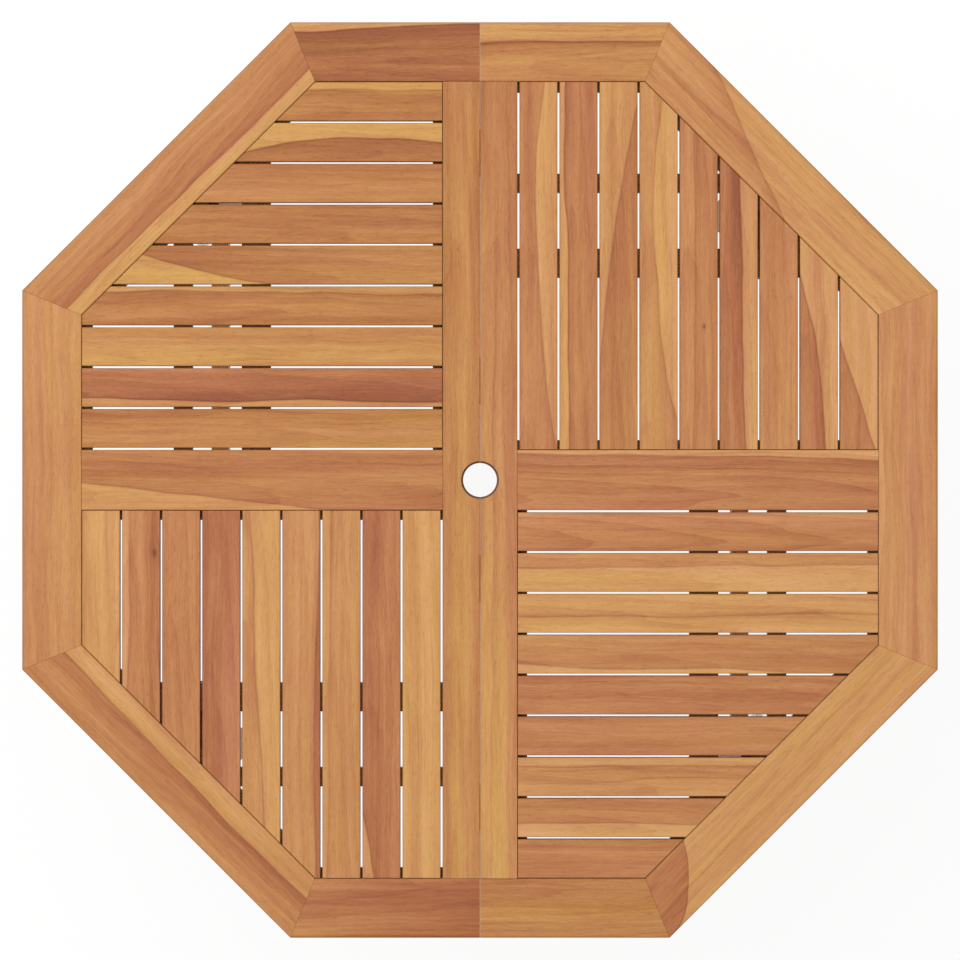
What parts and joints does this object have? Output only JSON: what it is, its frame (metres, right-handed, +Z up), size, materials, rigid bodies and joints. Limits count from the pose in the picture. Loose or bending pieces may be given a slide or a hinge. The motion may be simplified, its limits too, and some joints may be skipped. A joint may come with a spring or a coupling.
{
  "type": "folding garden table",
  "caption": "Octagonal slatted teak garden table with a parasol hole; two hinged half tops fold down on a pair of swinging leg frames.",
  "frame": {"origin": "on the floor, under the middle of the parasol hole", "axes": "+Z up, the seam between the half tops along Y, left half top at -X"},
  "size_m": [1.2, 1.2, 0.75],
  "materials": {
    "teak": "oiled, satin",
    "dowel_wood": "plain",
    "brass": "satin, a little dulled",
    "stainless_steel": "brushed"
  },
  "bodies": {
    "left_leg_frame": {"left_front_leg": "teak", "left_rear_leg": "teak", "left_stretcher": "teak", "left_stretcher_pegs": "dowel_wood"},
    "left_half_top": {"left_block_screws": "stainless_steel", "left_centre_stile": "teak", "left_front_diagonal_rail": "teak", "left_front_end_rail": "teak", "left_front_narrow_batten": "teak", "left_front_pivot_block": "teak", "left_front_slats": "teak", "left_front_wide_batten": "teak", "left_hinge_plates": "brass", "left_hinge_screws": "brass", "left_middle_rail": "teak", "left_mitre_dowels": "dowel_wood", "left_pivot_bolts": "stainless_steel", "left_pivot_nuts": "stainless_steel", "left_pivot_washers": "stainless_steel", "left_rear_diagonal_rail": "teak", "left_rear_end_rail": "teak", "left_rear_narrow_batten": "teak", "left_rear_pivot_block": "teak", "left_rear_slats": "teak", "left_rear_wide_batten": "teak", "left_side_rail": "teak", "left_slat_screws": "stainless_steel", "hinge_pins": "brass", "turn_plate_screws": "brass"},
    "right_half_top": {"right_block_screws": "stainless_steel", "right_centre_stile": "teak", "right_front_diagonal_rail": "teak", "right_front_end_rail": "teak", "right_front_narrow_batten": "teak", "right_front_pivot_block": "teak", "right_front_slats": "teak", "right_front_wide_batten": "teak", "right_hinge_plates": "brass", "right_hinge_screws": "brass", "right_middle_rail": "teak", "right_mitre_dowels": "dowel_wood", "right_pivot_bolts": "stainless_steel", "right_pivot_nuts": "stainless_steel", "right_pivot_washers": "stainless_steel", "right_rear_diagonal_rail": "teak", "right_rear_end_rail": "teak", "right_rear_narrow_batten": "teak", "right_rear_pivot_block": "teak", "right_rear_slats": "teak", "right_rear_wide_batten": "teak", "right_side_rail": "teak", "right_slat_screws": "stainless_steel"},
    "right_leg_frame": {"right_front_leg": "teak", "right_rear_leg": "teak", "right_stretcher": "teak", "right_stretcher_pegs": "dowel_wood"},
    "front_lock": {"front_turn_plate": "brass"},
    "rear_lock": {"rear_turn_plate": "brass"}
  },
  "joints": [
    {"name": "left_fold", "type": "hinge", "parent": "left_leg_frame", "child": "left_half_top", "pos_m": [-0.36603, 0, 0.69], "axis": [0, -1, 0], "range_deg": [0, 78]},
    {"name": "seam_fold", "type": "hinge", "parent": "left_half_top", "child": "right_half_top", "pos_m": [0, 0, 0.7162], "axis": [0, 1, 0], "range_deg": [0, 156]},
    {"name": "right_fold", "type": "hinge", "parent": "right_half_top", "child": "right_leg_frame", "pos_m": [0.36603, 0, 0.69], "axis": [0, -1, 0], "range_deg": [0, 78]},
    {"name": "front_lock_turn", "type": "hinge", "parent": "left_half_top", "child": "front_lock", "pos_m": [-0.02455, -0.25, 0.7182], "axis": [0, 0, 1], "range_deg": [0, 90]},
    {"name": "rear_lock_turn", "type": "hinge", "parent": "left_half_top", "child": "rear_lock", "pos_m": [-0.02455, 0.25, 0.7182], "axis": [0, 0, -1], "range_deg": [0, 90]}
  ],
  "couplings": [
    {"joint": "seam_fold", "follows": "left_fold", "ratio": 2},
    {"joint": "right_fold", "follows": "left_fold", "ratio": 1}
  ]
}
